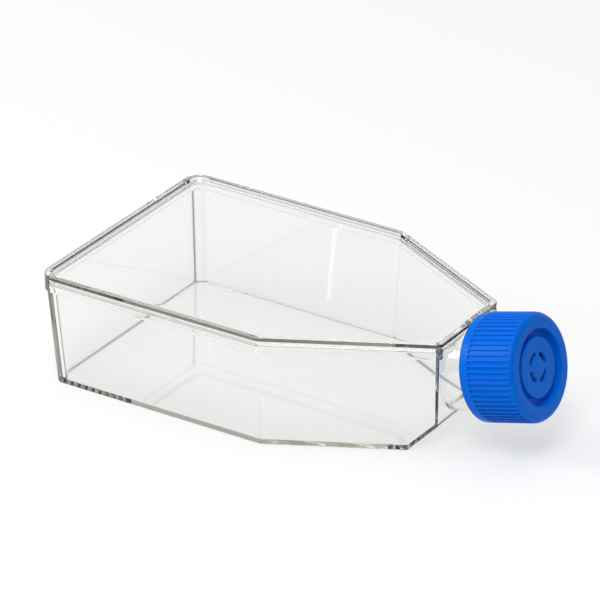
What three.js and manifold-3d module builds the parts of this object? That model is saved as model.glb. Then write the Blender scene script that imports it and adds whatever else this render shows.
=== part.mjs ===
// Cell culture flask: a clear tray with a canted, threaded neck, a top plate welded onto its flange,
// and a ribbed screw cap that vents through a membrane. Millimetres, +Z up. The flask lies on its
// flat base: the origin is the middle of that base, and the neck points along +X and upwards.
import * as THREE from "three";
import { mergeVertices } from "three/addons/utils/BufferGeometryUtils.js";
import Module from "manifold-3d";

const wasm = await Module();
wasm.setup();

// Rim outline, seen from above
const RIM_WIDTH = 85;
const SIDE_LENGTH = 78; // the two long sides
const SHOULDER_RUN = 48; // how far the shoulders reach along X
const SHOULDER_WIDTH = 83.4; // where the shoulders start
const NECK_END_WIDTH = 33.2;
const REAR_CORNER = 5.4;
const SHOULDER_CORNER = 1.4;
const NECK_CORNER = 2.6;

// Heights, walls and the welded rim
const HEIGHT = 37.2;
const WALL = 1.3;
const WALL_CORNER = 2.5; // at the rear, outside the walls
const INNER_CORNER = 5; // at the rear, inside them
const FLOOR = 1.2;
const LEDGE = 1.3; // the rim stands this far out from the walls
const DRAFT = 1.8; // the walls lean in by this much from rim to base
const END_DRAFT = 0.8; // the same for the neck end wall
const FLANGE_HEIGHT = 2.4;
const BASE_CHAMFER = 0.4;
const RAMP_RISE = 8.5; // the base turns up towards the neck end wall
const RAMP_RUN = 8.2;
const PANEL = 1.3; // thickness of the top plate
const RIM_DROP = 0.7; // the plate's rim reaches this far down past the panel, to the seam
const BEAD_HEIGHT = 0.8; // stacking bead round the top plate
const BEAD_WIDTH = 1.8;
const BEAD_CHAMFER = 0.3;

// Canted neck
const NECK_TILT = THREE.MathUtils.degToRad(15.5);
const NECK_AXIS_HEIGHT = 22.32; // where the neck's axis leaves the end wall
const NECK_RADIUS = 12.9;
const BORE_RADIUS = 11;
const NECK_LENGTH = 21.4;
const MOUTH_CHAMFER = 0.4;

// Screw thread, shared by the neck and the cap
const THREAD_LEAD = 4;
const THREAD_HEIGHT = 1;
const THREAD_ROOT = 1.7; // axial width at the wall
const THREAD_CREST = 0.9;
const THREAD_START = 12; // along the neck, from the end wall
const NECK_THREAD_TURNS = 1.6;
const CAP_THREAD_TURNS = 1.5;
const THREAD_RUNOUT = 0.12; // turns over which a thread end fades into the wall

// Screw cap
const CAP_RADIUS = 16.4;
const CAP_LENGTH = 18;
const CAP_SHOULDER = 2.3; // radius of the rounded outer edge
const CAP_TOP_WALL = 1.5;
const GROOVE_RADIUS = 11.6;
const GROOVE_DEPTH = 2.4;
const DISC_RADIUS = 9.1; // the vented disc inside the groove
const DISC_RECESS = 0.85;
const DISC_WALL = 1.2;
const LAND_DEPTH = 3.5; // from the end face down to the sealing land
const LAND_RADIUS = 12.7;
const SKIRT_BAND = 2.8; // smooth band at the open end
const RIBS = 60;
const RIB_DEPTH = 0.5;
const RIB_CREST_SHARE = 0.3; // of one pitch
const RIB_FOOT_SHARE = 0.5;
const SLOTS = 4;
const SLOT_RADIUS = 4.1;
const SLOT_WIDTH = 1.4;
const SLOT_ANGLE = THREE.MathUtils.degToRad(46);
const FIRST_SLOT = THREE.MathUtils.degToRad(27); // bearing of its middle

// Pieces inside the cap
const SEAL_THICKNESS = 1;
const MEMBRANE_THICKNESS = 0.25;

// Clearances
const THREAD_CLEARANCE = 0.35; // radial, crest to wall
const SEAT_GAP = 0.25; // between stacked pieces along the neck
const LID_GAP = 0.3; // end of the top plate to the neck
const FIT_GAP = 0.3; // radial, round the loose pieces in the cap
const LEAST_CORNER = 0.3; // radius of a corner that is moved in past its own centre
const OVERRUN = 1; // cutters run this far past the faces that they open

// Facets
const ROUND_SEGMENTS = 90;
const NECK_SEGMENTS = 72;
const CORNER_SEGMENTS = 6;
const THREAD_STEPS = 36; // for each turn
const SHOULDER_SEGMENTS = 6;
const SLOT_SEGMENTS = 8; // for each arc

// Worked out from the sizes above
const LENGTH = SIDE_LENGTH + SHOULDER_RUN;
const PANEL_TOP = HEIGHT - BEAD_HEIGHT;
const WELD_HEIGHT = PANEL_TOP - PANEL - RIM_DROP;
const WALL_TOP = WELD_HEIGHT - FLANGE_HEIGHT;
const NECK_WALL_X = LENGTH / 2 - LEDGE;
const CAP_BORE = NECK_RADIUS + THREAD_HEIGHT + THREAD_CLEARANCE;
const LAND_HEIGHT = CAP_LENGTH - LAND_DEPTH;
const CAP_START = NECK_LENGTH + 2 * SEAT_GAP + SEAL_THICKNESS - LAND_HEIGHT;
const TRIM_TOP = HEIGHT + NECK_RADIUS; // above all that the trims take off

// ---------------------------------------------------------------- solids

// A closed mesh as a manifold-3d solid, facing out.
function toSolid(geometry) {
  const bare = geometry.clone();
  bare.deleteAttribute("normal");
  bare.deleteAttribute("uv");
  const merged = mergeVertices(bare, 1e-4);
  const whole = [];
  for (let i = 0; i < merged.index.count; i += 3) {
    const [a, b, c] = merged.index.array.slice(i, i + 3);
    if (a !== b && b !== c && c !== a) whole.push(a, b, c);
  }
  const mesh = { numProp: 3, vertProperties: merged.attributes.position.array };
  const solid = new wasm.Manifold(new wasm.Mesh({ ...mesh, triVerts: new Uint32Array(whole) }));
  if (solid.volume() > 0) return solid;
  return new wasm.Manifold(new wasm.Mesh({ ...mesh, triVerts: new Uint32Array(whole.reverse()) }));
}

// The solid's surface as a three.js geometry with flat faces.
function toGeometry(solid) {
  const mesh = solid.getMesh();
  const geometry = new THREE.BufferGeometry();
  geometry.setAttribute("position", new THREE.BufferAttribute(new Float32Array(mesh.vertProperties), 3));
  geometry.setIndex(new THREE.BufferAttribute(new Uint32Array(mesh.triVerts), 1));
  const flat = geometry.toNonIndexed();
  flat.computeVertexNormals();
  return flat;
}

// A solid of revolution about Z from [radius, height] points that start and end on the axis,
// or close on themselves.
function turned(points, segments) {
  const profile = points.map(([r, z]) => new THREE.Vector2(r, z));
  return toSolid(new THREE.LatheGeometry(profile, segments).rotateX(Math.PI / 2));
}

function cylinder(radius, low, high, segments) {
  return turned([[0, low], [radius, low], [radius, high], [0, high]], segments);
}

// A block from its lowest to its highest corner.
function block(low, high) {
  const size = high.map((value, i) => value - low[i]);
  const middle = high.map((value, i) => (value + low[i]) / 2);
  return toSolid(new THREE.BoxGeometry(...size).translate(...middle));
}

// A flat shape with holes, from one height to another.
function extruded(shape, low, high, curveSegments = 12) {
  const options = { depth: high - low, bevelEnabled: false, curveSegments };
  return toSolid(new THREE.ExtrudeGeometry(shape, options).translate(0, 0, low));
}

// ---------------------------------------------------------------- outline of the body

// Where the line through point a along u meets the line through point b along v.
function crossing(a, u, b, v) {
  const gap = b.clone().sub(a);
  return a.clone().addScaledVector(u, gap.cross(v) / u.cross(v));
}

// An arc of the given radius in the corner at point p between its two neighbours.
function rounded(before, p, after, radius) {
  const back = before.clone().sub(p).normalize();
  const on = after.clone().sub(p).normalize();
  const half = Math.acos(back.dot(on)) / 2;
  const centre = p.clone().addScaledVector(back.clone().add(on).normalize(), radius / Math.sin(half));
  const from = p.clone().addScaledVector(back, radius / Math.tan(half)).sub(centre).angle();
  const turn = Math.PI - 2 * half;
  return Array.from({ length: CORNER_SEGMENTS + 1 }, (_, i) => {
    const angle = from + (turn * i) / CORNER_SEGMENTS;
    return new THREE.Vector2(centre.x + radius * Math.cos(angle), centre.y + radius * Math.sin(angle));
  });
}

// The six-sided outline, counter-clockwise, moved inwards by inset and by neckInset at the neck end,
// with rear as the radius of its two rear corners. Every outline has the same number of points, so
// outlines can be joined into walls.
function outline(inset, neckInset = inset, rear = REAR_CORNER - inset) {
  const x = LENGTH / 2;
  const right = [[-x, -RIM_WIDTH / 2], [SIDE_LENGTH - x, -SHOULDER_WIDTH / 2], [x, -NECK_END_WIDTH / 2]];
  const left = right.map(([cx, cy]) => [cx, -cy]).reverse();
  const points = [left[2], ...right, left[0], left[1]].map(([cx, cy]) => new THREE.Vector2(cx, cy));
  const sides = points.map((p, i) => {
    const along = points[(i + 1) % 6].clone().sub(p).normalize();
    const inwards = new THREE.Vector2(-along.y, along.x);
    return { along, start: p.clone().addScaledVector(inwards, i === 3 ? neckInset : inset) };
  });
  const moved = sides.map((side, i) => {
    const last = sides[(i + 5) % 6];
    return crossing(last.start, last.along, side.start, side.along);
  });
  const shoulder = SHOULDER_CORNER - inset;
  const neck = NECK_CORNER - inset;
  const radii = [rear, rear, shoulder, neck, neck, shoulder];
  return moved.flatMap((p, i) => {
    const radius = Math.max(radii[i], LEAST_CORNER);
    return rounded(moved[(i + 5) % 6], p, moved[(i + 1) % 6], radius);
  });
}

// A solid whose surface runs through a list of { z, inset, neckInset, rear } outlines, closed at both ends.
function stacked(levels) {
  const rings = levels.map((level) => outline(level.inset, level.neckInset, level.rear));
  const count = rings[0].length;
  const positions = rings.flatMap((ring, i) => ring.flatMap((p) => [p.x, p.y, levels[i].z]));
  const index = [];
  for (let i = 0; i + 1 < rings.length; i++) {
    for (let j = 0; j < count; j++) {
      const a = i * count + j;
      const b = i * count + ((j + 1) % count);
      index.push(a, b, b + count, a, b + count, a + count);
    }
  }
  const last = (rings.length - 1) * count;
  const firstEnd = THREE.ShapeUtils.triangulateShape(rings[0], []);
  const lastEnd = THREE.ShapeUtils.triangulateShape(rings.at(-1), []);
  for (const [a, b, c] of firstEnd) index.push(c, b, a);
  for (const [a, b, c] of lastEnd) index.push(last + a, last + b, last + c);
  const geometry = new THREE.BufferGeometry();
  geometry.setAttribute("position", new THREE.Float32BufferAttribute(positions, 3));
  geometry.setIndex(index);
  return toSolid(geometry);
}

// How far the outside of a wall with this draft stands in from the rim at a height.
function wallInset(z, draft) {
  return LEDGE + draft * (1 - z / WALL_TOP);
}

// The walls' outline at a height: outside them, or inside with their thickness.
function wallLevel(z, rear, thickness = 0) {
  const inset = wallInset(z, DRAFT) + thickness;
  return { z, inset, neckInset: wallInset(z, END_DRAFT) + thickness, rear };
}

// ---------------------------------------------------------------- neck frame and threads

// From the neck's own frame, Z outwards along its axis from the end wall, to the flask's frame.
function neckFrame() {
  const frame = new THREE.Matrix4().makeRotationY(Math.PI / 2 - NECK_TILT);
  return frame.setPosition(NECK_WALL_X, 0, NECK_AXIS_HEIGHT);
}

function inNeckFrame(solid) {
  return toSolid(toGeometry(solid).applyMatrix4(neckFrame()));
}

// A right-hand thread that starts at height start on a wall of the given radius. It stands outwards
// with side 1 and inwards with side -1: a straight ridge, bent round into a helix that fades at its ends.
function thread(radius, side, start, turns) {
  const sunk = -THREAD_CLEARANCE;
  const ridge = new THREE.Shape([
    new THREE.Vector2(sunk, -THREAD_ROOT / 2),
    new THREE.Vector2(0, -THREAD_ROOT / 2),
    new THREE.Vector2(THREAD_HEIGHT, -THREAD_CREST / 2),
    new THREE.Vector2(THREAD_HEIGHT, THREAD_CREST / 2),
    new THREE.Vector2(0, THREAD_ROOT / 2),
    new THREE.Vector2(sunk, THREAD_ROOT / 2),
  ]);
  const steps = Math.round(THREAD_STEPS * turns);
  const geometry = new THREE.ExtrudeGeometry(ridge, { depth: turns, steps, bevelEnabled: false });
  const position = geometry.attributes.position;
  for (let i = 0; i < position.count; i++) {
    const turn = position.getZ(i);
    const fade = Math.min(1, turn / THREAD_RUNOUT, (turns - turn) / THREAD_RUNOUT);
    const rise = position.getX(i) > 0 ? position.getX(i) * fade : position.getX(i);
    const r = radius + side * rise;
    const angle = 2 * Math.PI * turn;
    const z = start + THREAD_LEAD * turn + position.getY(i);
    position.setXYZ(i, r * Math.cos(angle), r * Math.sin(angle), z);
  }
  return toSolid(geometry);
}

// ---------------------------------------------------------------- tray and top plate

// The hollow of the tray: its floor, the slope up to the neck end wall, and the drafted walls.
function chamber() {
  const slope = Math.atan2(RAMP_RISE, RAMP_RUN);
  const end = wallInset(RAMP_RISE, END_DRAFT);
  const slopeStart = end + RAMP_RUN + WALL / Math.sin(slope);
  const knee = (slopeStart - end - WALL) * Math.tan(slope);
  const floor = wallLevel(FLOOR, INNER_CORNER, WALL);
  return stacked([
    { ...floor, neckInset: slopeStart - FLOOR / Math.tan(slope) },
    { ...wallLevel(knee, INNER_CORNER, WALL), neckInset: end + WALL },
    { z: WALL_TOP, inset: LEDGE + WALL, rear: INNER_CORNER },
    { z: WELD_HEIGHT + OVERRUN, inset: LEDGE + WALL, rear: INNER_CORNER },
  ]);
}

// The outside of the tray as a solid: base, sloped end, drafted walls and the flange.
function trayOutside() {
  const foot = RAMP_RUN + wallInset(RAMP_RISE, END_DRAFT);
  const base = wallLevel(0, WALL_CORNER);
  const lowWall = wallLevel(BASE_CHAMFER, WALL_CORNER);
  return stacked([
    { ...base, inset: base.inset + BASE_CHAMFER, neckInset: foot },
    { ...lowWall, neckInset: foot - (RAMP_RUN * BASE_CHAMFER) / RAMP_RISE },
    wallLevel(RAMP_RISE, WALL_CORNER),
    { z: WALL_TOP, inset: LEDGE, rear: WALL_CORNER },
    { z: WALL_TOP, inset: 0 },
    { z: WELD_HEIGHT, inset: 0 },
  ]);
}

// The neck, solid, cut off flat under the top plate and clear of the plate's end.
function neckOutside() {
  const buried = -NECK_RADIUS * Math.sin(NECK_TILT) - WALL;
  const tube = turned(
    [
      [0, buried],
      [NECK_RADIUS, buried],
      [NECK_RADIUS, NECK_LENGTH - MOUTH_CHAMFER],
      [NECK_RADIUS - MOUTH_CHAMFER, NECK_LENGTH],
      [0, NECK_LENGTH],
    ],
    NECK_SEGMENTS,
  );
  const neck = inNeckFrame(tube.add(thread(NECK_RADIUS, 1, THREAD_START, NECK_THREAD_TURNS)));
  const edge = LENGTH / 2 + LID_GAP;
  return neck.subtract(block([0, -NECK_RADIUS, WELD_HEIGHT], [edge, NECK_RADIUS, TRIM_TOP]));
}

function flaskTray() {
  const reach = BORE_RADIUS + WALL / Math.sin(NECK_TILT);
  const bore = inNeckFrame(cylinder(BORE_RADIUS, -reach, NECK_LENGTH + OVERRUN, NECK_SEGMENTS));
  const inWall = bore.subtract(block([-LENGTH, -RIM_WIDTH, WELD_HEIGHT], [NECK_WALL_X, RIM_WIDTH, TRIM_TOP]));
  return trayOutside().add(neckOutside()).subtract(chamber()).subtract(inWall);
}

// The welded plate: a flat panel inside a rim that stands up as the stacking bead and reaches down to
// the seam.
function topPlate() {
  const rimWidth = LEDGE + WALL;
  return stacked([
    { z: PANEL_TOP - PANEL, inset: rimWidth, rear: INNER_CORNER },
    { z: WELD_HEIGHT, inset: rimWidth, rear: INNER_CORNER },
    { z: WELD_HEIGHT, inset: 0 },
    { z: HEIGHT - BEAD_CHAMFER, inset: 0 },
    { z: HEIGHT, inset: BEAD_CHAMFER },
    { z: HEIGHT, inset: BEAD_WIDTH },
    { z: PANEL_TOP, inset: BEAD_WIDTH + BEAD_CHAMFER },
  ]);
}

// ---------------------------------------------------------------- cap, in its own frame

// The cap's section, turned about Z: open end at 0, end face at CAP_LENGTH.
function capBody() {
  const discTop = CAP_LENGTH - DISC_RECESS;
  const discUnder = discTop - DISC_WALL;
  const grooveFloor = CAP_LENGTH - GROOVE_DEPTH;
  const shoulder = Array.from({ length: SHOULDER_SEGMENTS + 1 }, (_, i) => {
    const angle = (Math.PI / 2) * (1 - i / SHOULDER_SEGMENTS);
    const r = CAP_RADIUS - CAP_SHOULDER * (1 - Math.cos(angle));
    return [r, CAP_LENGTH - CAP_SHOULDER * (1 - Math.sin(angle))];
  });
  return turned(
    [
      [0, discTop],
      [DISC_RADIUS, discTop],
      [DISC_RADIUS, grooveFloor],
      [GROOVE_RADIUS, grooveFloor],
      [GROOVE_RADIUS, CAP_LENGTH],
      ...shoulder,
      [CAP_RADIUS, MOUTH_CHAMFER],
      [CAP_RADIUS - MOUTH_CHAMFER, 0],
      [CAP_BORE + MOUTH_CHAMFER, 0],
      [CAP_BORE, MOUTH_CHAMFER],
      [CAP_BORE, CAP_LENGTH - CAP_TOP_WALL],
      [LAND_RADIUS, CAP_LENGTH - CAP_TOP_WALL],
      [LAND_RADIUS, LAND_HEIGHT],
      [DISC_RADIUS - DISC_WALL, LAND_HEIGHT],
      [DISC_RADIUS - DISC_WALL, discUnder],
      [0, discUnder],
    ],
    ROUND_SEGMENTS,
  );
}

// A sleeve whose inside follows the ribs: taken off the cap, it leaves them standing.
function ribCutter() {
  const sleeve = new THREE.Shape().absarc(0, 0, CAP_RADIUS + RIB_DEPTH + OVERRUN, 0, 2 * Math.PI);
  const pitch = (2 * Math.PI) / RIBS;
  const foot = CAP_RADIUS - RIB_DEPTH;
  const clear = CAP_RADIUS + RIB_DEPTH;
  const lean = (RIB_FOOT_SHARE - RIB_CREST_SHARE) / 2;
  const marks = [
    [-RIB_FOOT_SHARE / 2, foot],
    [-RIB_CREST_SHARE / 2 + lean, clear],
    [RIB_CREST_SHARE / 2 - lean, clear],
    [RIB_FOOT_SHARE / 2, foot],
  ];
  const contour = Array.from({ length: RIBS }).flatMap((_, i) =>
    marks.map(([share, r]) => {
      const angle = (i + share) * pitch;
      return new THREE.Vector2(r * Math.cos(angle), r * Math.sin(angle));
    }),
  );
  sleeve.holes.push(new THREE.Path(contour));
  return extruded(sleeve, SKIRT_BAND, CAP_LENGTH + OVERRUN, ROUND_SEGMENTS / 2);
}

// One curved vent slot, centred on the given angle.
function slotCutter(angle) {
  const from = angle - SLOT_ANGLE / 2;
  const to = angle + SLOT_ANGLE / 2;
  const half = SLOT_WIDTH / 2;
  const shape = new THREE.Shape();
  const roundEnd = (at, start) => {
    shape.absarc(SLOT_RADIUS * Math.cos(at), SLOT_RADIUS * Math.sin(at), half, start, start + Math.PI, false);
  };
  shape.absarc(0, 0, SLOT_RADIUS + half, from, to, false);
  roundEnd(to, to);
  shape.absarc(0, 0, SLOT_RADIUS - half, to, from, true);
  roundEnd(from, from + Math.PI);
  const top = CAP_LENGTH - DISC_RECESS;
  return extruded(shape, top - DISC_WALL - OVERRUN, top + OVERRUN, SLOT_SEGMENTS);
}

function screwCap() {
  const start = THREAD_START - THREAD_LEAD / 2 - CAP_START;
  let cap = capBody().subtract(ribCutter());
  cap = cap.add(thread(CAP_BORE, -1, start, CAP_THREAD_TURNS));
  for (let i = 0; i < SLOTS; i++) cap = cap.subtract(slotCutter(FIRST_SLOT + (2 * Math.PI * i) / SLOTS));
  return cap;
}

// The loose ring that the cap's land presses onto the neck's mouth.
function sealingRing() {
  const inner = BORE_RADIUS;
  const outer = CAP_BORE - FIT_GAP;
  const top = LAND_HEIGHT - SEAT_GAP;
  const low = top - SEAL_THICKNESS;
  return turned([[inner, low], [outer, low], [outer, top], [inner, top], [inner, low]], NECK_SEGMENTS);
}

// The thin disc that lets gas through, sealed under the cap's land, inside the ring.
function ventMembrane() {
  const top = LAND_HEIGHT - SEAT_GAP;
  return cylinder(BORE_RADIUS - FIT_GAP, top - MEMBRANE_THICKNESS, top, NECK_SEGMENTS);
}

// ---------------------------------------------------------------- assembly

const clearPlastic = new THREE.MeshStandardMaterial({
  color: 0xeef1f2,
  roughness: 0.05,
  metalness: 0,
  transparent: true,
  opacity: 0.3,
});
const bluePlastic = new THREE.MeshStandardMaterial({ color: 0x0b5fd6, roughness: 0.35, metalness: 0 });
const sealRubber = new THREE.MeshStandardMaterial({ color: 0xe9e9e4, roughness: 0.6, metalness: 0 });
const membraneWhite = new THREE.MeshStandardMaterial({ color: 0xf2f2ef, roughness: 0.9, metalness: 0 });

function piece(name, solid, material) {
  const mesh = new THREE.Mesh(toGeometry(solid), material);
  mesh.name = name;
  return mesh;
}

const closure = new THREE.Group();
closure.add(piece("screw_cap", screwCap(), bluePlastic));
closure.add(piece("sealing_ring", sealingRing(), sealRubber));
closure.add(piece("vent_membrane", ventMembrane(), membraneWhite));
closure.position.z = CAP_START;

const neckEnd = new THREE.Group();
neckEnd.applyMatrix4(neckFrame());
neckEnd.add(closure);

const flask = new THREE.Group();
flask.name = "cell_culture_flask";
flask.add(piece("flask_tray", flaskTray(), clearPlastic));
flask.add(piece("top_plate", topPlate(), clearPlastic));
flask.add(neckEnd);

export default flask;
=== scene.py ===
"""Cell culture flask: a clear welded flask with a canted threaded neck, closed by a ribbed blue screw
cap that vents through a membrane. Metres, +Z up: the flask lies on its flat base, the origin is the
middle of that base, and the neck points along +X and upwards.
"""

import math

import bmesh
import bpy
import numpy as np
from bpy.props import FloatProperty, FloatVectorProperty, IntProperty, PointerProperty
from bpy.types import Operator, Panel, PropertyGroup
from mathutils import Matrix, Vector


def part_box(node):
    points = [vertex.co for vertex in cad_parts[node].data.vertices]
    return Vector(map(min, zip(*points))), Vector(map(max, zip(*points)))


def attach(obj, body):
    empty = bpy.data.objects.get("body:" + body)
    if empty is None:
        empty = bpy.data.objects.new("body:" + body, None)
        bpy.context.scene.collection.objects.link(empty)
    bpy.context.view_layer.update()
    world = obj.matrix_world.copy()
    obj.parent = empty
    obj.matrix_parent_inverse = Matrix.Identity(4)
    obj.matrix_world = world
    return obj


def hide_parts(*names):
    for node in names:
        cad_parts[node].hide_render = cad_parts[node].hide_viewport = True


bl_info = {
    "name": "Cell culture flask",
    "version": (1, 0, 0),
    "blender": (4, 5, 0),
    "location": "View3D > Sidebar > Culture flask",
    "description": "Builds the clear flask, its ribbed vented cap and a plain studio round the frame",
    "category": "Object",
}

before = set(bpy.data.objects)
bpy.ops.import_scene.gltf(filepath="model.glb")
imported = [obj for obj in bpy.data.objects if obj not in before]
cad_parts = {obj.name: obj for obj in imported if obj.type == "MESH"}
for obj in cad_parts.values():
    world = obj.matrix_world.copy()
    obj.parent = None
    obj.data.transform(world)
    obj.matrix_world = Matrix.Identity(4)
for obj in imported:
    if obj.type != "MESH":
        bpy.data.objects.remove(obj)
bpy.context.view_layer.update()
PLATE_LOW, PLATE_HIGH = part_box("top_plate")

MM = 0.001
WELD_LAP = 0.01 * MM  # the plate and the tray sink this far into each other, so that the weld is solid
CLOSING_RIM = 3 * MM  # a wall section's end ring lies this far in from its edge, and one face closes it
CORE = 1 * MM  # radius of the end rings of what is turned, which one face closes as well
OVERSHOOT = 1 * MM  # how far a cutting solid reaches past what it cuts
MERGE_DISTANCE = 1e-7  # points closer than this become one
SHARP_ANGLE = math.radians(35)  # edges that bend by more than this stay crisp


# ---------------------------------------------------------------- sizes and colours


def size(name, text, default):
    """A length that can be changed, in metres."""
    kind = {"unit": "LENGTH", "subtype": "DISTANCE"}
    return FloatProperty(name=name, description=text, default=default, min=0.0, precision=5, **kind)


def angle(name, text, degrees):
    """An angle that can be changed."""
    kind = {"unit": "ROTATION", "subtype": "ANGLE"}
    return FloatProperty(name=name, description=text, default=math.radians(degrees), **kind)


def number(name, text, default):
    """A plain number that can be changed."""
    return FloatProperty(name=name, description=text, default=default, min=0.0)


def count(name, text, default):
    """A count that can be changed."""
    return IntProperty(name=name, description=text, default=default, min=1)


def colour(name, text, default):
    """A linear colour that can be changed."""
    kind = {"size": 3, "subtype": "COLOR"}
    return FloatVectorProperty(name=name, description=text, default=default, min=0.0, max=1.0, **kind)


class BodySizes(PropertyGroup):
    """Sizes of the welded flask body."""

    rim_width: size("Rim width", "Width over the welded rim", PLATE_HIGH.y - PLATE_LOW.y)
    rim_length: size("Rim length", "Length over the welded rim", PLATE_HIGH.x - PLATE_LOW.x)
    height: size("Height", "Base to the top of the stacking bead", PLATE_HIGH.z)
    weld_height: size("Weld height", "Seam between the tray and the top plate's rim", PLATE_LOW.z)
    side_length: size("Side length", "Length of the two parallel sides", 0.078)
    shoulder_width: size("Shoulder width", "Rim width where the shoulders start", 0.0834)
    neck_end_width: size("Neck end width", "Rim width at the neck end", 0.0332)
    rear_corner: size("Rear corner", "Radius of the two rear rim corners", 0.0054)
    wall_corner: size("Wall corner", "Radius of the walls' rear corners outside", 0.0025)
    inner_corner: size("Inner corner", "Radius of the walls' rear corners inside", 0.0038)
    shoulder_corner: size("Shoulder corner", "Radius where a side meets its shoulder", 0.0014)
    neck_corner: size("Neck corner", "Radius where a shoulder meets the neck end", 0.0026)
    wall: size("Wall", "Thickness of the walls", 0.0013)
    floor: size("Floor", "Thickness of the floor", 0.0012)
    ledge: size("Ledge", "How far the rim stands out from the walls", 0.0013)
    draft: size("Draft", "How far the walls lean in from rim to base", 0.0018)
    end_draft: size("End draft", "How far the end wall leans in from rim to base", 0.0008)
    flange_height: size("Flange height", "Height of the tray's flange under the weld", 0.0024)
    ramp_rise: size("Ramp rise", "Height of the slope at the neck end of the base", 0.0085)
    ramp_run: size("Ramp run", "Length of the slope at the neck end of the base", 0.0082)
    panel: size("Panel", "Thickness of the top plate", 0.0013)
    bead_height: size("Bead height", "How far the stacking bead stands up round the plate", 0.0008)
    bead_width: size("Bead width", "Width of the stacking bead round the plate", 0.0018)
    bead_slope: size("Bead slope", "How far the bead's inner side slopes in", 0.00055)


class NeckSizes(PropertyGroup):
    """Sizes of the canted neck and its thread."""

    tilt: angle("Tilt", "How far the neck rises from level", 15.5)
    axis_height: size("Axis height", "Where the neck's axis leaves the end wall", 0.02232)
    radius: size("Radius", "Outside radius of the neck", 0.0129)
    bore_radius: size("Bore radius", "Inside radius of the neck", 0.011)
    length: size("Length", "End wall to mouth along the axis", 0.0214)
    lid_gap: size("Lid gap", "End of the top plate to the trimmed neck", 0.0003)
    thread_lead: size("Thread lead", "Advance of the thread in one turn", 0.004)
    thread_height: size("Thread height", "Root to crest", 0.001)
    thread_root: size("Thread root", "Width of the ridge at the wall", 0.0017)
    thread_crest: size("Thread crest", "Width of the ridge at its crest", 0.0009)
    thread_start: size("Thread start", "End wall to the start of the thread", 0.012)
    thread_turns: number("Thread turns", "Turns of thread on the neck", 1.6)


class CapSizes(PropertyGroup):
    """Sizes of the ribbed screw cap."""

    start: size("Start", "End wall to the open end of the cap", 0.0084)
    radius: size("Radius", "Outside radius over the ribs", 0.01638)
    length: size("Length", "Open end to end face", 0.01799)
    shoulder: size("Shoulder", "Radius of the rounded outer edge", 0.0023)
    bore: size("Bore", "Inside radius of the skirt", 0.01425)
    top_wall: size("Top wall", "Thickness behind the end face", 0.0015)
    groove_radius: size("Groove radius", "Outer radius of the groove in the end face", 0.0116)
    groove_depth: size("Groove depth", "Depth of that groove", 0.0024)
    disc_radius: size("Disc radius", "Radius of the vented disc", 0.0091)
    disc_recess: size("Disc recess", "How far the disc lies under the end face", 0.00085)
    disc_wall: size("Disc wall", "Thickness of the vented disc", 0.0012)
    land_depth: size("Land depth", "End face down to the sealing land", 0.0035)
    land_radius: size("Land radius", "Outer radius of the sealing land", 0.0127)
    skirt_band: size("Skirt band", "Smooth band at the open end", 0.0028)
    ribs: count("Ribs", "Grip ribs round the skirt", 60)
    rib_depth: size("Rib depth", "How deep the valleys between ribs are", 0.0005)
    slots: count("Slots", "Curved vent slots", 4)
    slot_radius: size("Slot radius", "Radius of the ring of slots", 0.0041)
    slot_width: size("Slot width", "Width of a slot", 0.0014)
    slot_angle: angle("Slot angle", "Length of a slot as an angle", 46)
    slot_ribs: count("Slot ribs", "How many ribs the slots are turned back by", 3)
    thread_turns: number("Thread turns", "Turns of thread in the cap", 1.5)


class FinishColours(PropertyGroup):
    """Colours of the finishes, linear, and what goes with them."""

    clear_tint: colour("Clear tint", "What one face of clear plastic lets through", (0.975, 0.98, 0.974))
    clear_depth: colour("Clear depth", "What deep clear plastic tends to", (0.25, 0.27, 0.16))
    tray_density: number("Tray density", "How fast the tray's plastic tends to that colour", 15.0)
    lid_density: number("Lid density", "How fast the top plate's plastic tends to it", 22.0)
    cap_blue: colour("Cap blue", "The cap's plastic", (0.0, 0.145, 0.71))
    liner_white: colour("Liner white", "The sealing ring", (0.72, 0.72, 0.69))
    membrane_white: colour("Membrane white", "The vent membrane", (0.78, 0.78, 0.76))
    floor_white: colour("Floor white", "The studio floor as it sends light on", (0.85, 0.85, 0.85))
    floor_seen: colour("Floor seen", "The part of the floor's white that takes shadows", (0.5, 0.5, 0.5))
    floor_glow: number("Floor glow", "The rest of the floor's white, seen but lighting nothing", 0.5)


class StudioSizes(PropertyGroup):
    """Camera and lights."""

    lens: number("Lens", "Focal length in millimetres", 240.0)
    distance: size("Distance", "Camera to the plane of the origin", 1.2217)
    azimuth: angle("Azimuth", "Turn of the camera round the flask", 32.61)
    elevation: angle("Elevation", "Height of the camera above level", 27.26)
    slide_right: size("Slide right", "The camera's place to the right of the origin", 0.00313)
    slide_up: size("Slide up", "The camera's place above the origin, across its view", 0.0243)
    floor_radius: size("Floor radius", "How far the floor reaches", 4.0)


# ---------------------------------------------------------------- surfaces


def softened(corners, sizes, steps=6):
    """A line of points with soft corners. Each corner gives way to the parabola
    (1 - t)^2 a + 2 t (1 - t) corner + t^2 b, where a and b lie the corner's own distance away on the
    sides before and after it. The two end points stay.
    """
    corners = np.asarray(corners, float)
    reach = np.asarray(sizes, float)[:, None]
    middle = corners[1:-1]
    back = corners[:-2] - middle
    on = corners[2:] - middle
    a = middle + reach * back / np.linalg.norm(back, axis=1, keepdims=True)
    b = middle + reach * on / np.linalg.norm(on, axis=1, keepdims=True)
    t = np.linspace(0, 1, steps)[None, :, None]
    curves = (1 - t) ** 2 * a[:, None] + 2 * t * (1 - t) * middle[:, None] + t**2 * b[:, None]
    return np.concatenate([corners[:1], curves.reshape(-1, corners.shape[1]), corners[-1:]])


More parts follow.
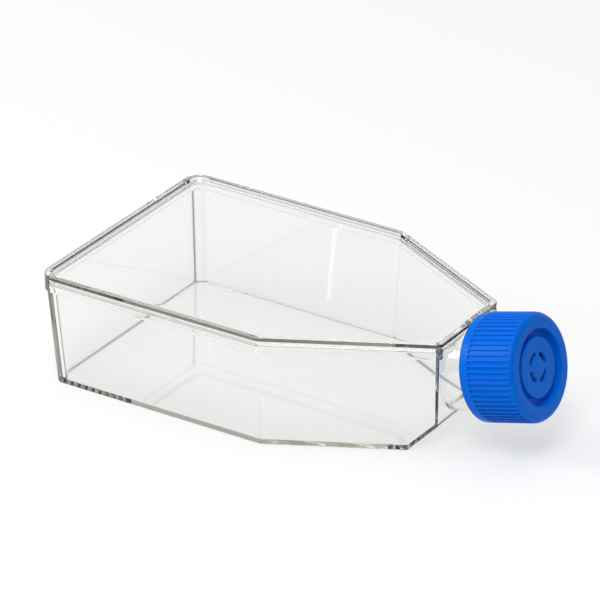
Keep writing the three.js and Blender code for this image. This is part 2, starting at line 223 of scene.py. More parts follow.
def outlines(body, inset, neck_inset, rear, steps=10):
    """Rings round the six-sided plan, shape (rings, points, 2). Each side is the rim's side moved
    inwards by inset, or by neck_inset at the neck end. Two moved sides meet at a + u t, with
    t = (b - a) x v / (u x v). An arc fills each corner: of radius rear at the two rear ones, and of the
    corner's radius less the inset at the others.
    """
    x, y = body.rim_length / 2, body.rim_width / 2
    shoulder, half = body.side_length - x, body.shoulder_width / 2
    half_neck = body.neck_end_width / 2
    corners = np.array(
        [[-x, y], [-x, -y], [shoulder, -half], [x, -half_neck], [x, half_neck], [shoulder, half]]
    )
    rear_ends, neck_end = slice(0, 2), 3  # the first two corners, and the side that starts at the fourth
    along = np.roll(corners, -1, axis=0) - corners
    along /= np.linalg.norm(along, axis=1, keepdims=True)
    inwards = np.stack([-along[:, 1], along[:, 0]], 1)
    moves = np.repeat(np.asarray(inset, float)[:, None], len(corners), axis=1)
    moves[:, neck_end] = neck_inset
    starts = corners + inwards * moves[..., None]
    a, u = np.roll(starts, 1, axis=1), np.roll(along, 1, axis=0)
    gap = starts - a
    crossed = gap[..., 0] * along[:, 1] - gap[..., 1] * along[:, 0]
    t = crossed / (u[:, 0] * along[:, 1] - u[:, 1] * along[:, 0])
    moved = a + u * t[..., None]
    rims = [body.rear_corner, body.rear_corner, body.shoulder_corner, body.neck_corner]
    rims += [body.neck_corner, body.shoulder_corner]
    radii = np.array(rims) - np.asarray(inset, float)[:, None]
    radii[:, rear_ends] = np.asarray(rear, float)[:, None]
    least = body.wall / 4
    radii = np.maximum(radii, least)
    corner = np.arccos(np.clip(np.sum(-u * along, axis=1), -1, 1)) / 2
    inner = along - u
    inner /= np.linalg.norm(inner, axis=1, keepdims=True)
    centres = moved + inner * (radii / np.sin(corner))[..., None]
    touch = moved - u * (radii / np.tan(corner))[..., None] - centres
    first = np.arctan2(touch[..., 1], touch[..., 0])
    turn = (math.pi - 2 * corner)[:, None] * np.linspace(0, 1, steps)
    bearing = first[..., None] + turn
    ring = centres[:, :, None] + radii[..., None, None] * np.stack([np.cos(bearing), np.sin(bearing)], -1)
    return ring.reshape(len(ring), -1, 2)


def walls(body, profile):
    """Rings carried round the plan: row (inset, neck inset, height, rear corner radius) of the profile
    gives one ring.
    """
    rings = outlines(body, profile[:, 0], profile[:, 1], profile[:, 3])
    heights = np.broadcast_to(profile[:, None, 2:3], (*rings.shape[:2], 1))
    return np.concatenate([rings, heights], -1)


def turned(profile, bearings):
    """Rings of a surface of revolution: row (r, z) gives the points (r cos b, r sin b, z)."""
    r, z = profile[:, :1], profile[:, 1:]
    flat = np.ones_like(bearings)
    return np.stack([r * np.cos(bearings), r * np.sin(bearings), z * flat], -1)


def round_bearings(sides):
    """That many even bearings round a circle."""
    return np.linspace(0, 2 * math.pi, sides, endpoint=False)


THREAD_FOOT = 0.35 * MM  # how deep a ridge's foot is sunk
THREAD_SOFT = np.array([0.15, 0.25, 0.25, 0.15]) * MM  # foot, crest, crest, foot


def ridge(neck, radius, side, start, turns, steps=120, runout=0.12):
    """Rings of a thread ridge: its section carried along a helix. At turn t a section point with
    rise r and offset z lies at radius + side r f(t), bearing 2 pi t and height start + lead t + z,
    where f fades to 0 over the runout at both ends. The section's foot is sunk into the wall.
    """
    root, crest, high = neck.thread_root / 2, neck.thread_crest / 2, neck.thread_height
    low_side = [[-THREAD_FOOT, -root], [0, -root], [high, -crest]]
    high_side = [[high, crest], [0, root], [-THREAD_FOOT, root]]
    section = softened(low_side + high_side, THREAD_SOFT, steps=4)
    t = np.linspace(0, turns, round(steps * turns) + 1)[:, None]
    fade = np.clip(np.minimum(t, turns - t) / runout, 0, 1)
    rise = np.where(section[:, 0] > 0, section[:, 0] * fade, section[:, 0])
    r = radius + side * rise
    bearing = 2 * math.pi * t
    height = start + neck.thread_lead * t + section[:, 1]
    return np.stack([r * np.cos(bearing), r * np.sin(bearing), height], -1)


def ring_quads(rows, columns, first=0):
    """Faces between neighbouring closed rings, where point [i, j] is number first + i columns + j."""
    i, j = np.mgrid[0 : rows - 1, 0:columns]
    k = (j + 1) % columns
    corners = [i * columns + j, i * columns + k, (i + 1) * columns + k, (i + 1) * columns + j]
    return first + np.stack(corners, -1).reshape(-1, 4)


def in_neck_frame(neck, points, offset=0.0):
    """Points given in the neck's own frame, Z outwards along its axis from the end wall, moved to
    the flask's frame: the axis rises by the tilt from the middle of the end wall.
    """
    body = bpy.context.scene.flask_body
    c, s = math.cos(neck.tilt), math.sin(neck.tilt)
    turn = np.array([[s, 0, c], [0, 1, 0], [-c, 0, s]])
    origin = np.array([body.rim_length / 2 - body.ledge, 0, neck.axis_height])
    return (points + [0, 0, offset]) @ turn.T + origin


# ---------------------------------------------------------------- meshes


def new_mesh_object(name, points, faces):
    """An object at the origin with these points and faces, doubles merged and faces turned outwards."""
    mesh = bpy.data.meshes.new(name)
    mesh.from_pydata(points.reshape(-1, 3).tolist(), [], faces)
    shape = bmesh.new()
    shape.from_mesh(mesh)
    bmesh.ops.remove_doubles(shape, verts=shape.verts, dist=MERGE_DISTANCE)
    bmesh.ops.recalc_face_normals(shape, faces=shape.faces)
    shape.to_mesh(mesh)
    shape.free()
    made = bpy.data.objects.new(name, mesh)
    bpy.context.scene.collection.objects.link(made)
    return made


def closed_rings(name, rings):
    """A closed body from rings of points: walls between the rings and a face over each end."""
    rows, columns = rings.shape[:2]
    ends = [list(range(columns)), list(range((rows - 1) * columns, rows * columns))]
    return new_mesh_object(name, rings, ring_quads(rows, columns).tolist() + ends)


def combined(base, *steps):
    """base after each (operation, tool) in turn, as one closed mesh. The tools are removed."""
    for operation, tool in steps:
        modifier = base.modifiers.new(operation, "BOOLEAN")
        modifier.operation = operation
        modifier.object = tool
        modifier.solver = "MANIFOLD"
    bpy.context.view_layer.update()
    whole = base.evaluated_get(bpy.context.evaluated_depsgraph_get())
    mesh = bpy.data.meshes.new_from_object(whole)
    old = base.data
    base.modifiers.clear()
    base.data = mesh
    bpy.data.meshes.remove(old)
    mesh.name = base.name
    for _, tool in steps:
        spare = tool.data
        bpy.data.objects.remove(tool)
        bpy.data.meshes.remove(spare)
    return base


def place(piece, body, material, nodes=()):
    """Gives a finished piece its smooth shading, its material, and the body that it rides on."""
    piece.data.materials.clear()
    piece.data.materials.append(material)
    piece.data.shade_smooth()
    piece.data.set_sharp_from_angle(angle=SHARP_ANGLE)
    even = piece.modifiers.new("Even shading", "WEIGHTED_NORMAL")
    even.mode = "FACE_AREA"
    even.keep_sharp = True
    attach(piece, body)
    if nodes:
        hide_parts(*nodes)


# ---------------------------------------------------------------- materials


def add_node(tree, kind, settings=None, inputs=None):
    """A node with its settings made and its inputs set or linked."""
    made = tree.nodes.new(kind)
    for key, value in (settings or {}).items():
        setattr(made, key, value)
    for key, value in (inputs or {}).items():
        if isinstance(value, bpy.types.NodeSocket):
            tree.links.new(value, made.inputs[key])
        else:
            made.inputs[key].default_value = value
    return made


def opaque(rgb):
    """A linear colour with full alpha."""
    return (*rgb, 1.0)


def calculated(tree, operation, *values, clamp=False):
    """The output of a Math node on numbers or sockets."""
    settings = {"operation": operation, "use_clamp": clamp}
    return add_node(tree, "ShaderNodeMath", settings, dict(enumerate(values))).outputs[0]


def either_ray(tree, *kinds):
    """1 on a ray of any of these kinds, and 0 on others."""
    path = add_node(tree, "ShaderNodeLightPath").outputs
    flag = path[kinds[0]]
    for kind in kinds[1:]:
        flag = calculated(tree, "MAXIMUM", flag, path[kind])
    return flag


def chosen(tree, flag, otherwise, then):
    """The shader then where the flag is 1, and the shader otherwise where it is 0."""
    return add_node(tree, "ShaderNodeMixShader", None, {0: flag, 1: otherwise, 2: then}).outputs[0]


def new_material(name):
    """An empty node material and its output node."""
    material = bpy.data.materials.new(name)
    material.use_nodes = True
    material.node_tree.nodes.clear()
    return material, add_node(material.node_tree, "ShaderNodeOutputMaterial")


WHITE = (1.0, 1.0, 1.0, 1.0)
DRIFT_SCALE = 130.0  # patches of roughness in a metre
WAVE_SCALE = 45.0  # slow waves in a metre
POLYSTYRENE_IOR = 1.59

# Each finish: roughness and how far it drifts, wave height, grains in a metre and grain height.
FINISH_INPUTS = ("Roughness", "Drift", "Wave height", "Grain scale", "Grain height")
PLAIN_FINISH = dict(zip(FINISH_INPUTS, (0.3, 0.05, 0.00001, 3000.0, 0.000001)))
CLEAR_FINISH = dict(zip(FINISH_INPUTS, (0.0, 0.0, 0.000008, 4000.0, 0.0)))
BLUE_FINISH = dict(zip(FINISH_INPUTS, (0.32, 0.12, 0.00001, 5000.0, 0.0000015)))
LINER_FINISH = dict(zip(FINISH_INPUTS, (0.55, 0.1, 0.00001, 2500.0, 0.000004)))
MEMBRANE_FINISH = dict(zip(FINISH_INPUTS, (0.9, 0.1, 0.00001, 9000.0, 0.00002)))
BLUE_SHADER = {"IOR": 1.5, "Specular IOR Level": 0.06}

# The share of light that clear plastic passes straight on, by facing: 0 is square to the wall, 1 along it.
SLANT = {"From Min": 0.3, "To Min": 0.995, "To Max": 0.45}


def moulded_finish():
    """The shared look of moulded plastic: roughness that drifts a little over the surface, slow
    waves where it cooled, and a fine grain. Built once.
    """
    name = "Moulded finish"
    if name in bpy.data.node_groups:
        return bpy.data.node_groups[name]
    group = bpy.data.node_groups.new(name, "ShaderNodeTree")
    for label, default in PLAIN_FINISH.items():
        socket = group.interface.new_socket(label, in_out="INPUT", socket_type="NodeSocketFloat")
        socket.default_value = default
    group.interface.new_socket("Roughness", in_out="OUTPUT", socket_type="NodeSocketFloat")
    group.interface.new_socket("Normal", in_out="OUTPUT", socket_type="NodeSocketVector")
    given = add_node(group, "NodeGroupInput").outputs
    spot = add_node(group, "ShaderNodeTexCoord").outputs["Object"]

    def noise(scale, detail):
        """Noise of about 0.5 on the surface's own coordinates."""
        inputs = {"Vector": spot, "Scale": scale, "Detail": detail}
        return add_node(group, "ShaderNodeTexNoise", None, inputs).outputs["Fac"]

    centred = calculated(group, "SUBTRACT", noise(DRIFT_SCALE, 3.0), 0.5)
    rough = calculated(group, "MULTIPLY_ADD", centred, given["Drift"], given["Roughness"], clamp=True)
    waves = calculated(group, "MULTIPLY", noise(WAVE_SCALE, 1.0), given["Wave height"])
    grain = noise(given["Grain scale"], 2.0)
    height = calculated(group, "MULTIPLY_ADD", grain, given["Grain height"], waves)
    bump = add_node(group, "ShaderNodeBump", None, {"Strength": 1.0, "Distance": 1.0, "Height": height})
    add_node(group, "NodeGroupOutput", None, {"Roughness": rough, "Normal": bump.outputs["Normal"]})
    return group


def finish_node(tree, values):
    """The moulded finish with this material's own values."""
    return add_node(tree, "ShaderNodeGroup", {"node_tree": moulded_finish()}, values).outputs


def clear_plastic(name, density):
    """Clear polystyrene: glass-like, tinted where light runs a long way through it, by the density.
    Light from lamps and from the floor passes it straight, less where it meets the wall at a slant.
    """
    colours = bpy.context.scene.flask_colours
    material, output = new_material(name)
    tree = material.node_tree
    finish = finish_node(tree, CLEAR_FINISH)
    glass = add_node(
        tree,
        "ShaderNodeBsdfPrincipled",
        None,
        {
            "Base Color": opaque(colours.clear_tint),
            "Roughness": finish["Roughness"],
            "IOR": POLYSTYRENE_IOR,
            "Transmission Weight": 1.0,
            "Normal": finish["Normal"],
        },
    )
    facing = add_node(tree, "ShaderNodeLayerWeight", None, {"Blend": 0.5}).outputs["Facing"]
    passed = add_node(tree, "ShaderNodeMapRange", None, {"Value": facing, **SLANT}).outputs["Result"]
    levels = dict.fromkeys(("Red", "Green", "Blue"), passed)
    grey = add_node(tree, "ShaderNodeCombineColor", None, levels).outputs["Color"]
    straight = add_node(tree, "ShaderNodeBsdfTransparent", None, {"Color": grey})
    soft_light = either_ray(tree, "Is Shadow Ray", "Is Diffuse Ray")
    surface = chosen(tree, soft_light, glass.outputs[0], straight.outputs[0])
    inside = {"Color": opaque(colours.clear_depth), "Density": density}
    depth = add_node(tree, "ShaderNodeVolumeAbsorption", None, inputs=inside)
    tree.links.new(surface, output.inputs["Surface"])
    tree.links.new(depth.outputs[0], output.inputs["Volume"])
    return material


def solid_plastic(name, rgb, finish, shader=None):
    """An opaque moulded piece: its colour, its values for the moulded finish, and any constants of
    its shader.
    """
    material, output = new_material(name)
    tree = material.node_tree
    skin = finish_node(tree, finish)
    inputs = {"Base Color": opaque(rgb), "Roughness": skin["Roughness"], "Normal": skin["Normal"]}
    inputs.update(shader or {})
    plastic = add_node(tree, "ShaderNodeBsdfPrincipled", None, inputs)
    tree.links.new(plastic.outputs[0], output.inputs["Surface"])
    return material


def floor_material():
    """A pale floor that takes shadows and looks white where nothing shades it: what sees it gets
    its matt part and its glow, and the light that it sends on comes from its plain white.
    """
    colours = bpy.context.scene.flask_colours
    material, output = new_material("Pale floor")
    tree = material.node_tree
    seen = either_ray(tree, "Is Camera Ray", "Is Glossy Ray", "Is Transmission Ray")
    under = add_node(tree, "ShaderNodeBsdfDiffuse", None, {"Color": opaque(colours.floor_white)})
    matt = add_node(tree, "ShaderNodeBsdfDiffuse", None, {"Color": opaque(colours.floor_seen)})
    light = {"Color": WHITE, "Strength": colours.floor_glow}
    glow = add_node(tree, "ShaderNodeEmission", None, light)
    lifted = add_node(tree, "ShaderNodeAddShader", None, {0: matt.outputs[0], 1: glow.outputs[0]})
    surface = chosen(tree, seen, under.outputs[0], lifted.outputs[0])
    tree.links.new(surface, output.inputs["Surface"])
    return material


# ---------------------------------------------------------------- studio

# The surround, by direction: how far round to the front the dim side starts and where it is full, the
# height at which it has ended and the one up to which it is full, and then the levels that gloss and
# clear plastic see, from plain to dim.
DIM_SIDE = {"From Min": -0.35, "From Max": 0.25}
DIM_HEIGHT = {"From Min": 0.85, "From Max": 0.7}
DIM_LEVELS = {"To Min": 1.0, "To Max": 0.2}

# As light on matt pieces the surround grows from nothing at this height to its full level overhead.
SKY_LIGHT = {"From Min": 0.3, "To Min": 0.0, "To Max": 1.0}

# Each lamp: name, place, width, height and watts.
LAMPS = (
    ("Key softbox", (0.28, -0.65, 1.0), 0.5, 0.5, 5.6),
    ("Side softbox", (-0.9, -0.6, 0.6), 0.3, 0.6, 6.5),
)
LAMP_AIM = (0.03, 0, 0)


def studio_world():
    """A plain pale surround, fixed to the room: softer as light than as what gloss and clear plastic
    see, and with a dim side in front of the flask, so that clear edges are drawn against something.
    """
    world = bpy.data.worlds.new("Studio")
    world.use_nodes = True
    tree = world.node_tree
    tree.nodes.clear()

    def ranged(value, limits):
        """The value carried from one range to another."""
        return add_node(tree, "ShaderNodeMapRange", None, {"Value": value, **limits}).outputs["Result"]

    def background(strength):
        """White at this strength."""
        inputs = {"Color": WHITE, "Strength": strength}
        return add_node(tree, "ShaderNodeBackground", None, inputs).outputs[0]

    towards = add_node(tree, "ShaderNodeTexCoord").outputs["Generated"]
    azimuth = bpy.context.scene.flask_studio.azimuth
    front = (math.sin(azimuth), -math.cos(azimuth), 0)
    along = add_node(tree, "ShaderNodeVectorMath", {"operation": "DOT_PRODUCT"}, {0: towards, 1: front})
    rise = add_node(tree, "ShaderNodeSeparateXYZ", None, {"Vector": towards}).outputs["Z"]
    side = ranged(along.outputs["Value"], DIM_SIDE)
    dim = calculated(tree, "MULTIPLY", side, ranged(rise, DIM_HEIGHT))
    view = background(ranged(dim, DIM_LEVELS))
    light = background(ranged(rise, SKY_LIGHT))
    surround = chosen(tree, either_ray(tree, "Is Glossy Ray", "Is Transmission Ray"), light, view)
    shown = chosen(tree, either_ray(tree, "Is Camera Ray"), surround, background(1.0))
    add_node(tree, "ShaderNodeOutputWorld", None, {"Surface": shown})
    bpy.context.scene.world = world


def softbox(name, spot, width, height, watts):
    """A rectangular lamp at spot, turned towards the middle of the flask."""
    lamp = bpy.data.lights.new(name, "AREA")
    lamp.shape = "RECTANGLE"
    lamp.size = width
    lamp.size_y = height
    lamp.energy = watts
    holder = bpy.data.objects.new(name, lamp)
    bpy.context.scene.collection.objects.link(holder)
    away = Vector(spot) - Vector(LAMP_AIM)
    holder.matrix_world = Matrix.Translation(spot) @ away.to_track_quat("Z", "Y").to_matrix().to_4x4()


# ---------------------------------------------------------------- operators


class FLASK_OT_camera(Operator):
    """Places the camera in front of the flask, to the right and above"""

    bl_idname = "flask.camera"
    bl_label = "Camera"

    NEAREST = 0.05
    FARTHEST = 50.0

    def execute(self, context):
        studio = context.scene.flask_studio
        a, e = studio.azimuth, studio.elevation
        back = Vector((math.sin(a) * math.cos(e), -math.cos(a) * math.cos(e), math.sin(e)))
        right = Vector((math.cos(a), math.sin(a), 0))
        up = back.cross(right)
        data = bpy.data.cameras.new("Camera")
        data.lens = studio.lens
        data.clip_start = self.NEAREST
        data.clip_end = self.FARTHEST
        camera = bpy.data.objects.new("Camera", data)
        context.scene.collection.objects.link(camera)
        turn = Matrix((right, up, back)).transposed().to_4x4()
        spot = back * studio.distance + right * studio.slide_right + up * studio.slide_up
        camera.matrix_world = Matrix.Translation(spot) @ turn
        context.scene.camera = camera
        return {"FINISHED"}


class FLASK_OT_stage(Operator):
    """Makes the pale floor, the surround and the soft lamps, and sets how light is traced"""

    bl_idname = "flask.stage"
    bl_label = "Stage"

    FLOOR_SIDES = 64
    FLOOR_DROP = 0.1 * MM  # under the base, so that no two faces share a plane
    CLEAR_BOUNCES = 40  # enough for light to cross every wall and rim of the flask
    MATT_BOUNCES = 3

    def execute(self, context):
        studio = context.scene.flask_studio
        edge = np.array([[studio.floor_radius, -self.FLOOR_DROP]])
        rings = turned(edge, round_bearings(self.FLOOR_SIDES))
        mesh = bpy.data.meshes.new("Floor")
        mesh.from_pydata(rings[0].tolist(), [], [list(range(self.FLOOR_SIDES))])
        floor = bpy.data.objects.new("Floor", mesh)
        context.scene.collection.objects.link(floor)
        floor.data.materials.append(floor_material())
        studio_world()
        for lamp in LAMPS:
            softbox(*lamp)
        cycles = context.scene.cycles
        cycles.max_bounces = self.CLEAR_BOUNCES
        cycles.transmission_bounces = self.CLEAR_BOUNCES
        cycles.glossy_bounces = self.CLEAR_BOUNCES
        cycles.transparent_max_bounces = self.CLEAR_BOUNCES
        cycles.diffuse_bounces = self.MATT_BOUNCES
        cycles.use_denoising = True
        context.scene.view_settings.view_transform = "Standard"
        return {"FINISHED"}


class FLASK_OT_tray(Operator):
    """Makes the clear tray with its flange and canted, threaded neck"""

    bl_idname = "flask.tray"
    bl_label = "Tray and neck"

    OUTSIDE_SOFT = np.array([0.5, 0.8, 0.3, 0.25, 0.15]) * MM  # base, slope, flange foot, flange edges
    INSIDE_SOFT = np.array([1.1, 0.8, 0.3]) * MM  # floor, slope, flange foot
    NECK_SOFT = np.array([0.05, 0.4]) * MM  # buried end, mouth
    BORE_SOFT = np.array([0.05, 0.15, 0.1, 0.05]) * MM  # inner end, flare, mouth, outer end
    MOUTH_FLARE = 0.3 * MM
    NECK_SIDES = 144

    def execute(self, context):
        body, neck = context.scene.flask_body, context.scene.flask_neck
        outside = closed_rings("tray_shell", walls(body, self.outside(body)))
        hollow = closed_rings("hollow", walls(body, self.inside(body)))
        tube = self.tube(body, neck)
        bore = self.bore(neck)
        whole = combined(outside, ("UNION", tube), ("DIFFERENCE", hollow), ("DIFFERENCE", bore))
        plastic = clear_plastic("Clear tray plastic", context.scene.flask_colours.tray_density)
        place(whole, "flask", plastic, ["flask_tray"])
        return {"FINISHED"}

    @staticmethod
    def lean(body, draft, z):
        """How far a wall's outside stands in from the rim at a height: ledge + draft (1 - z / top)."""
        return body.ledge + draft * (1 - z / (body.weld_height - body.flange_height))

    def wall_at(self, body, z, thickness, radius):
        """The profile's row for the wall at a height: its side and end insets, height and corner."""
        side, end = self.lean(body, body.draft, z), self.lean(body, body.end_draft, z)
        return [side + thickness, end + thickness, z, radius]

    def outside(self, body):
        """The tray's outer profile: base, slope at the neck end, drafted wall, flange."""
        top, round_by = body.weld_height - body.flange_height, body.wall_corner
        side = self.lean(body, body.draft, 0)
        foot = body.ramp_run + self.lean(body, body.end_draft, body.ramp_rise)
        corners = [
            [side + CLOSING_RIM, foot + CLOSING_RIM, 0, round_by],
            [side, foot, 0, round_by],
            self.wall_at(body, body.ramp_rise, 0, round_by),
            [body.ledge, body.ledge, top, round_by],
            [0, 0, top, body.rear_corner],
            [0, 0, body.weld_height + WELD_LAP, body.rear_corner],
            [body.ledge, body.ledge, body.weld_height + WELD_LAP, body.rear_corner],
        ]
        return softened(corners, self.OUTSIDE_SOFT)

    def inside(self, body):
        """The hollow's profile: floor, slope behind the ramp, drafted wall, open top."""
        rise, run, wall, round_by = body.ramp_rise, body.ramp_run, body.wall, body.inner_corner
        slope = math.atan2(rise, run)
        end = self.lean(body, body.end_draft, rise) + wall
        start = end - wall + run + wall / math.sin(slope)
        knee = (start - end) * math.tan(slope)
        low = self.lean(body, body.draft, body.floor) + wall
        low_end = start - body.floor / math.tan(slope)
        open_side = [body.ledge + wall, body.ledge + wall]
        corners = [
            [low + CLOSING_RIM, low_end + CLOSING_RIM, body.floor, round_by],
            [low, low_end, body.floor, round_by],
            self.wall_at(body, knee, wall, round_by),
            [*open_side, body.weld_height - body.flange_height, round_by],
            [*open_side, body.weld_height + 2 * OVERSHOOT, round_by],
        ]
        return softened(corners, self.INSIDE_SOFT)

    def tube(self, body, neck):
        """The neck as a solid with its thread, cut off flat under the top plate."""
        buried = -neck.radius * math.sin(neck.tilt) - body.wall
        lip = [[CORE, buried], [neck.radius, buried], [neck.radius, neck.length], [CORE, neck.length]]
        profile = softened(lip, self.NECK_SOFT)
        bearings = round_bearings(self.NECK_SIDES)
        tube = closed_rings("tube", in_neck_frame(neck, turned(profile, bearings)))
        rings = ridge(neck, neck.radius, 1, neck.thread_start, neck.thread_turns)
        thread = closed_rings("thread", in_neck_frame(neck, rings))
        edge = body.rim_length / 2 + neck.lid_gap
        low = np.array([0, -neck.radius - OVERSHOOT, body.weld_height])
        high = np.array([edge, neck.radius + OVERSHOOT, 2 * body.height])
        square = np.array([[[0, 0], [1, 0], [1, 1], [0, 1]]])
        level = np.array([[[0]], [[1]]])
        unit_box = np.concatenate([square + 0 * level, level + 0 * square[..., :1]], -1)
        trim = closed_rings("trim", low + unit_box * (high - low))
        return combined(tube, ("DIFFERENCE", trim), ("UNION", thread))

    def bore(self, neck):
        """What is taken out of the neck, from inside the chamber to the rounded mouth."""
        body = bpy.context.scene.flask_body
        reach = neck.bore_radius + body.wall / math.sin(neck.tilt)
        r, end = neck.bore_radius, neck.length
        mouth = r + self.MOUTH_FLARE
        inner_part = [[CORE, -reach], [r, -reach], [r, end - self.MOUTH_FLARE]]
        outer_part = [[mouth, end], [mouth, end + OVERSHOOT], [CORE, end + OVERSHOOT]]
        profile = softened(inner_part + outer_part, self.BORE_SOFT)
        bearings = round_bearings(self.NECK_SIDES)
        return closed_rings("bore", in_neck_frame(neck, turned(profile, bearings)))


class FLASK_OT_lid(Operator):
    """Makes the clear top plate with its stacking bead"""

    bl_idname = "flask.lid"
    bl_label = "Top plate"

    # Recess, its rim, the weld, the outer edge, the bead's inner edge and the bead's foot.
    SOFT = np.array([0.9, 0.1, 0.12, 0.3, 0.25, 0.15]) * MM
    RIM_MARGIN = 0.05 * MM  # rows farther out than the recess's wall by this follow the rim's corners

    def execute(self, context):
        body = context.scene.flask_body
        low, high = body.weld_height - WELD_LAP, body.height
        top = high - body.bead_height
        under, inner = top - body.panel, body.ledge + body.wall
        bead = body.bead_width
        corners = [
            [inner + CLOSING_RIM, under],
            [inner, under],
            [inner, low],
            [0, low],
            [0, high],
            [bead, high],
            [bead + body.bead_slope, top],
            [inner + CLOSING_RIM, top],
        ]
        line = softened(corners, self.SOFT)
        inset, height = line[:, 0], line[:, 1]
        on_rim = inset < inner - self.RIM_MARGIN
        corner = np.where(on_rim, body.rear_corner - inset, body.inner_corner)
        profile = np.stack([inset, inset, height, corner], 1)
        lid = closed_rings("top_lid", walls(body, profile))
        plastic = clear_plastic("Clear lid plastic", context.scene.flask_colours.lid_density)
        place(lid, "flask", plastic, ["top_plate"])
        return {"FINISHED"}


class FLASK_OT_cap(Operator):
    """Makes the blue cap: ribbed skirt, end face with its groove, and the vented disc"""

    bl_idname = "flask.cap"
    bl_label = "Screw cap"

    # One rib: the place along the pitch from the rib's middle, and the share of the rib's height there.
    RISING = [[-0.27, 0.0], [-0.21, 0.15], [-0.15, 0.88], [-0.09, 1.0]]
    FALLING = [[0.09, 1.0], [0.15, 0.88], [0.21, 0.15], [0.27, 0.0]]
    RIB_LINE = np.array(RISING + FALLING)

    # The disc's edge, both sides of the groove's floor, and the groove's rim.
    FACE_SOFT = np.array([0.3, 0.25, 0.25, 0.3]) * MM
    # Both edges of the open end, the ceiling, then the land and the step up to the vented disc.
    INNER_SOFT = np.array([0.4, 0.4, 0.3, 0.2, 0.2, 0.2, 0.2]) * MM
    # A slot's edge under the disc and on top of it.
    SLOT_SOFT = np.array([0.15, 0.4]) * MM

    SKIRT_FOOT = 1 * MM  # the inner section starts on the outside, this far from the open end
    SHOULDER_ROWS = 18
    RIB_EASE = 0.4 * MM  # the ribs rise out of the band over this length
    EASE_ABOVE = 0.5 * MM  # the rows that draw it reach this far past the band's edge
    EASE_BELOW = 0.1 * MM  # and this far before it
    EASE_ROWS = 7

    def execute(self, context):
        cap, neck = context.scene.flask_cap, context.scene.flask_neck
        pitch = 2 * math.pi / cap.ribs
        bearings = ((np.arange(cap.ribs)[:, None] + self.RIB_LINE[:, 0]) * pitch).ravel()
        contour = np.tile(self.RIB_LINE[:, 1], cap.ribs)
        shell = self.shell(cap, bearings, contour)
        rows, columns = shell.shape[:2]
        cells = self.vent_cells(cap, bearings)
        faces = ring_quads(rows, columns).tolist()
        first = rows * columns
        for cell in cells:
            faces += ring_quads(*cell.shape[:2], first).tolist()
            first += cell.shape[0] * cell.shape[1]
        middles = turned(np.array([[self.inner_edge(cap), z] for z in self.disc_heights(cap)]), bearings)
        for _ in middles:
            faces.append(list(range(first, first + columns)))
            first += columns
        points = np.concatenate([part.reshape(-1, 3) for part in (shell, *cells, middles)])
        piece = new_mesh_object("cap_shell", in_neck_frame(neck, points, cap.start), faces)
        colours = context.scene.flask_colours
        blue = solid_plastic("Blue plastic", colours.cap_blue, BLUE_FINISH, BLUE_SHADER)
        place(piece, "cap", blue, ["screw_cap"])
        start = neck.thread_start - neck.thread_lead / 2 - cap.start
        rings = ridge(neck, cap.bore, -1, start, cap.thread_turns)
        thread = closed_rings("cap_thread", in_neck_frame(neck, rings, cap.start))
        place(thread, "cap", blue)
        return {"FINISHED"}

    @staticmethod
    def disc_heights(cap):
        """Underside and top of the vented disc."""
        top = cap.length - cap.disc_recess
        return top - cap.disc_wall, top

    @staticmethod
    def inner_edge(cap):
        """Inner radius of the ring that holds the slots."""
        return cap.slot_radius - 2 * cap.slot_width

    @staticmethod
    def outer_edge(cap):
        """Outer radius of the ring that holds the slots."""
        return cap.slot_radius + 2 * cap.slot_width

    def shell(self, cap, bearings, contour):
        """Rings of everything outside the slots: the section (r, z) is turned, and on the outside r is
        held under radius - depth (1 - c(b)) w(z), where c is the line of the ribs by bearing, and w
        grows from 0 on the skirt band to 1 above it.
        """
        under, top = self.disc_heights(cap)
        edge, hub = self.outer_edge(cap), cap.disc_radius - cap.disc_wall
        floor, land = cap.length - cap.groove_depth, cap.length - cap.land_depth
        ceiling = cap.length - cap.top_wall
        quarter = np.linspace(math.pi / 2, 0, self.SHOULDER_ROWS)[:, None]
        hip = np.array([cap.radius - cap.shoulder, cap.length - cap.shoulder])
        shoulder = hip + cap.shoulder * np.concatenate([np.cos(quarter), np.sin(quarter)], 1)
        face = softened(
            [
                [edge, top],
                [cap.disc_radius, top],
                [cap.disc_radius, floor],
                [cap.groove_radius, floor],
                [cap.groove_radius, cap.length],
                shoulder[0],
            ],
            self.FACE_SOFT,
        )
        band = cap.skirt_band
        run = np.linspace(band + self.EASE_ABOVE, band - self.EASE_BELOW, self.EASE_ROWS)
        skirt = np.stack([np.full_like(run, cap.radius), run], 1)
        inner = softened(
            [
                [cap.radius, self.SKIRT_FOOT],
                [cap.radius, 0],
                [cap.bore, 0],
                [cap.bore, ceiling],
                [cap.land_radius, ceiling],
                [cap.land_radius, land],
                [hub, land],
                [hub, under],
                [edge, under],
            ],
            self.INNER_SOFT,
            steps=4,
        )
        section = np.concatenate([face, shoulder[1:], skirt, inner])
        rings = turned(section, bearings)
        r = section[:, :1]
        ribbed = np.arange(len(section)) < len(face) + len(shoulder) - 1 + len(skirt)
        ease = np.clip((section[:, 1] - band) / self.RIB_EASE, 0, 1)
        window = np.where(ribbed, ease * ease * (3 - 2 * ease), 0)[:, None]
        limit = cap.radius - cap.rib_depth * (1 - contour) * window
        held = np.minimum(r, limit)
        rings[..., :2] *= (held / r)[..., None]
        return rings

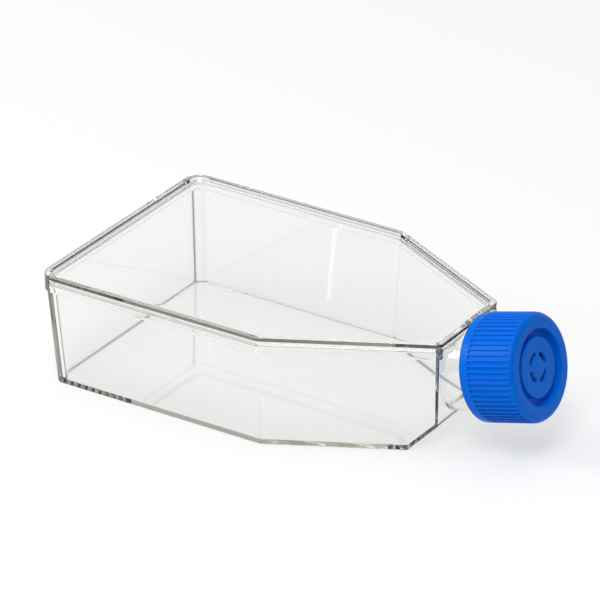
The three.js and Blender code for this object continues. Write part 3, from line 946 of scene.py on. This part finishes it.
    def slot_line(self, cap, half, points, ends):
        """The closed line round one slot, half its width away from its curved middle line: an arc
        outside, a half circle, an arc inside and a half circle.
        """
        sweep = np.linspace(-cap.slot_angle / 2, cap.slot_angle / 2, points)
        turn = np.linspace(0, math.pi, ends + 2)[1:-1]
        outer = (cap.slot_radius + half) * np.exp(1j * sweep)
        inner = (cap.slot_radius - half) * np.exp(1j * sweep[::-1])
        far = np.exp(1j * sweep[-1]) * (cap.slot_radius + half * np.exp(1j * turn))
        near = np.exp(1j * sweep[0]) * (cap.slot_radius + half * np.exp(1j * (turn + math.pi)))
        return np.concatenate([outer, far, inner, near])

    def vent_cells(self, cap, bearings, ends=10):
        """For each slot the rings from the disc's underside, up the slot's rounded wall and out over
        the top to a sector of the disc. Point k of every ring faces point k of the sector's edge.
        """
        under, top = self.disc_heights(cap)
        each = len(bearings) // cap.slots
        points = each + 1
        first = bearings[0]
        sector = np.concatenate([bearings[:each], [first + 2 * math.pi / cap.slots]])
        spokes = np.linspace(self.outer_edge(cap), self.inner_edge(cap), ends + 2)[1:-1]
        border = np.concatenate(
            [
                self.outer_edge(cap) * np.exp(1j * sector),
                spokes * np.exp(1j * sector[-1]),
                self.inner_edge(cap) * np.exp(1j * sector[::-1]),
                spokes[::-1] * np.exp(1j * sector[0]),
            ]
        )
        middle = np.exp(1j * math.pi / cap.slots)
        half = cap.slot_width / 2
        out = [[2 * half, under], [half, under], [half, top], [2 * half, top]]
        section = softened(out, self.SLOT_SOFT)[1:-1]
        lines = [self.slot_line(cap, width, points, ends) * middle for width in section[:, 0]]
        rings = [border, *lines, border]
        flat = np.array(rings)
        heights = np.concatenate([[under], section[:, 1], [top]])[:, None]
        z = np.broadcast_to(heights, flat.shape)
        turns = np.exp(2j * math.pi * (np.arange(cap.slots) / cap.slots - cap.slot_ribs / cap.ribs))
        return [np.stack([(flat * t).real, (flat * t).imag, z], -1) for t in turns]


class FLASK_OT_vent_parts(Operator):
    """Gives the sealing ring and the vent membrane inside the cap their finishes"""

    bl_idname = "flask.vent_parts"
    bl_label = "Ring and membrane"

    def execute(self, context):
        colours = context.scene.flask_colours
        liner = solid_plastic("Liner white", colours.liner_white, LINER_FINISH)
        membrane = solid_plastic("Membrane white", colours.membrane_white, MEMBRANE_FINISH)
        for name, material in (("sealing_ring", liner), ("vent_membrane", membrane)):
            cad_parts[name].material_slots[0].material = material
        return {"FINISHED"}


class FLASK_PT_panel(Panel):
    """Lists the builders and the sizes they use"""

    bl_idname = "FLASK_PT_panel"
    bl_label = "Culture flask"
    bl_space_type = "VIEW_3D"
    bl_region_type = "UI"
    bl_category = "Culture flask"

    def draw(self, context):
        for step in STEPS:
            self.layout.operator(step.bl_idname)
        for name in GROUPS:
            group = getattr(context.scene, name)
            box = self.layout.box()
            for key in group.bl_rna.properties.keys():
                if key not in ("rna_type", "name"):
                    box.prop(group, key)


STEPS = (FLASK_OT_camera, FLASK_OT_tray, FLASK_OT_lid, FLASK_OT_cap, FLASK_OT_vent_parts, FLASK_OT_stage)
GROUPS = {
    "flask_body": BodySizes,
    "flask_neck": NeckSizes,
    "flask_cap": CapSizes,
    "flask_colours": FinishColours,
    "flask_studio": StudioSizes,
}


def register():
    """Makes the sizes, operators and panel known to Blender."""
    for group in GROUPS.values():
        bpy.utils.register_class(group)
    for name, group in GROUPS.items():
        setattr(bpy.types.Scene, name, PointerProperty(type=group))
    for step in STEPS:
        bpy.utils.register_class(step)
    bpy.utils.register_class(FLASK_PT_panel)


def unregister():
    """Takes them all away again."""
    bpy.utils.unregister_class(FLASK_PT_panel)
    for step in reversed(STEPS):
        bpy.utils.unregister_class(step)
    for name, group in GROUPS.items():
        delattr(bpy.types.Scene, name)
        bpy.utils.unregister_class(group)


def main():
    """Builds the flask and the studio."""
    register()
    for step in STEPS:
        group, name = step.bl_idname.split(".")
        getattr(getattr(bpy.ops, group), name)()


if __name__ == "__main__":
    main()
